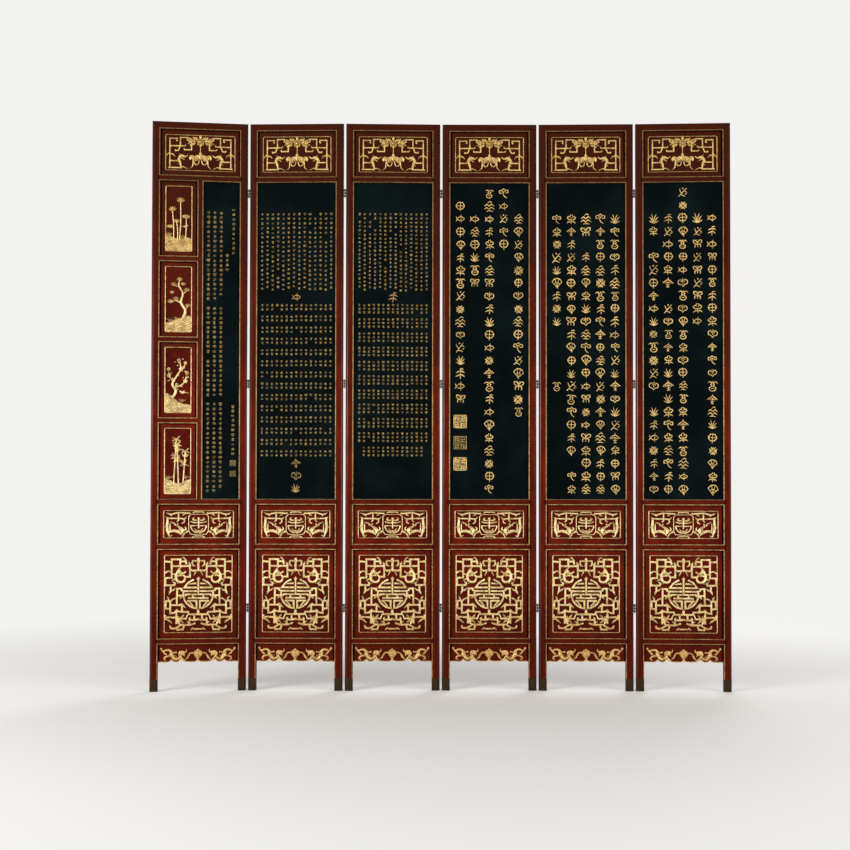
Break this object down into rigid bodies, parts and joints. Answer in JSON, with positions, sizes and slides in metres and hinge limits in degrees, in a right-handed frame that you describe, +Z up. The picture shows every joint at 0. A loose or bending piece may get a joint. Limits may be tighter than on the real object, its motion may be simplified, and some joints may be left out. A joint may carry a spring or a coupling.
{
  "type": "lacquer screen",
  "caption": "Tall folding screen of hinged red lacquer leaves with long black boards, carved gilt panels, cusped aprons and metal-shod legs.",
  "frame": {"origin": "middle of the bounding box at the floor", "axes": "+Z up, front towards -Y, +X along the row of leaves to the right as seen from the front"},
  "size_m": [2.7457, 0.0828, 2.7],
  "materials": {
    "red_lacquer": "dark brownish red lacquer, worn along the edges",
    "red_panel_lacquer": "brownish red lacquer",
    "black_lacquer": "blue-black lacquer, half gloss",
    "gilt_line": "worn gilding on a wooden bead",
    "gold_leaf": "pale gold leaf on carved wood",
    "shoe_metal": "dark brown patina",
    "hinge_metal": "greenish patina"
  },
  "bodies": {
    "leaf1": {"leaf1_stiles": "red_lacquer", "leaf1_rails": "red_lacquer", "leaf1_gilt_beads": "gilt_line", "leaf1_lacquer_board": "black_lacquer", "leaf1_red_panels": "red_panel_lacquer", "leaf1_apron": "red_panel_lacquer", "leaf1_gilt_carvings": "gold_leaf", "leaf1_shoes": "shoe_metal", "leaf1_hinge_eyes": "hinge_metal", "leaf1_mullion": "red_lacquer", "hinge_12_pins": "hinge_metal"},
    "leaf2": {"leaf2_stiles": "red_lacquer", "leaf2_rails": "red_lacquer", "leaf2_gilt_beads": "gilt_line", "leaf2_lacquer_board": "black_lacquer", "leaf2_red_panels": "red_panel_lacquer", "leaf2_apron": "red_panel_lacquer", "leaf2_gilt_carvings": "gold_leaf", "leaf2_shoes": "shoe_metal", "leaf2_hinge_eyes": "hinge_metal", "hinge_23_pins": "hinge_metal"},
    "leaf3": {"leaf3_stiles": "red_lacquer", "leaf3_rails": "red_lacquer", "leaf3_gilt_beads": "gilt_line", "leaf3_lacquer_board": "black_lacquer", "leaf3_red_panels": "red_panel_lacquer", "leaf3_apron": "red_panel_lacquer", "leaf3_gilt_carvings": "gold_leaf", "leaf3_shoes": "shoe_metal", "leaf3_hinge_eyes": "hinge_metal", "hinge_34_pins": "hinge_metal"},
    "leaf4": {"leaf4_stiles": "red_lacquer", "leaf4_rails": "red_lacquer", "leaf4_gilt_beads": "gilt_line", "leaf4_lacquer_board": "black_lacquer", "leaf4_red_panels": "red_panel_lacquer", "leaf4_apron": "red_panel_lacquer", "leaf4_gilt_carvings": "gold_leaf", "leaf4_shoes": "shoe_metal", "leaf4_hinge_eyes": "hinge_metal", "hinge_45_pins": "hinge_metal"},
    "leaf5": {"leaf5_stiles": "red_lacquer", "leaf5_rails": "red_lacquer", "leaf5_gilt_beads": "gilt_line", "leaf5_lacquer_board": "black_lacquer", "leaf5_red_panels": "red_panel_lacquer", "leaf5_apron": "red_panel_lacquer", "leaf5_gilt_carvings": "gold_leaf", "leaf5_shoes": "shoe_metal", "leaf5_hinge_eyes": "hinge_metal", "hinge_56_pins": "hinge_metal"},
    "leaf6": {"leaf6_stiles": "red_lacquer", "leaf6_rails": "red_lacquer", "leaf6_gilt_beads": "gilt_line", "leaf6_lacquer_board": "black_lacquer", "leaf6_red_panels": "red_panel_lacquer", "leaf6_apron": "red_panel_lacquer", "leaf6_gilt_carvings": "gold_leaf", "leaf6_shoes": "shoe_metal", "leaf6_hinge_eyes": "hinge_metal"}
  },
  "joints": [
    {"name": "fold_12", "type": "hinge", "parent": "leaf1", "child": "leaf2", "pos_m": [-0.92109, 0.02763, 1.456], "axis": [0, 0, 1], "range_deg": [-66, 83]},
    {"name": "fold_23", "type": "hinge", "parent": "leaf2", "child": "leaf3", "pos_m": [-0.46129, 0.01398, 1.456], "axis": [0, 0, -1], "range_deg": [-71, 78]},
    {"name": "fold_34", "type": "hinge", "parent": "leaf3", "child": "leaf4", "pos_m": [-0.0015, 0.02763, 1.456], "axis": [0, 0, 1], "range_deg": [-73, 76]},
    {"name": "fold_45", "type": "hinge", "parent": "leaf4", "child": "leaf5", "pos_m": [0.4585, 0.02763, 1.456], "axis": [0, 0, -1], "range_deg": [-76, 73]},
    {"name": "fold_56", "type": "hinge", "parent": "leaf5", "child": "leaf6", "pos_m": [0.91835, 0.01559, 1.456], "axis": [0, 0, 1], "range_deg": [-73, 76]}
  ]
}
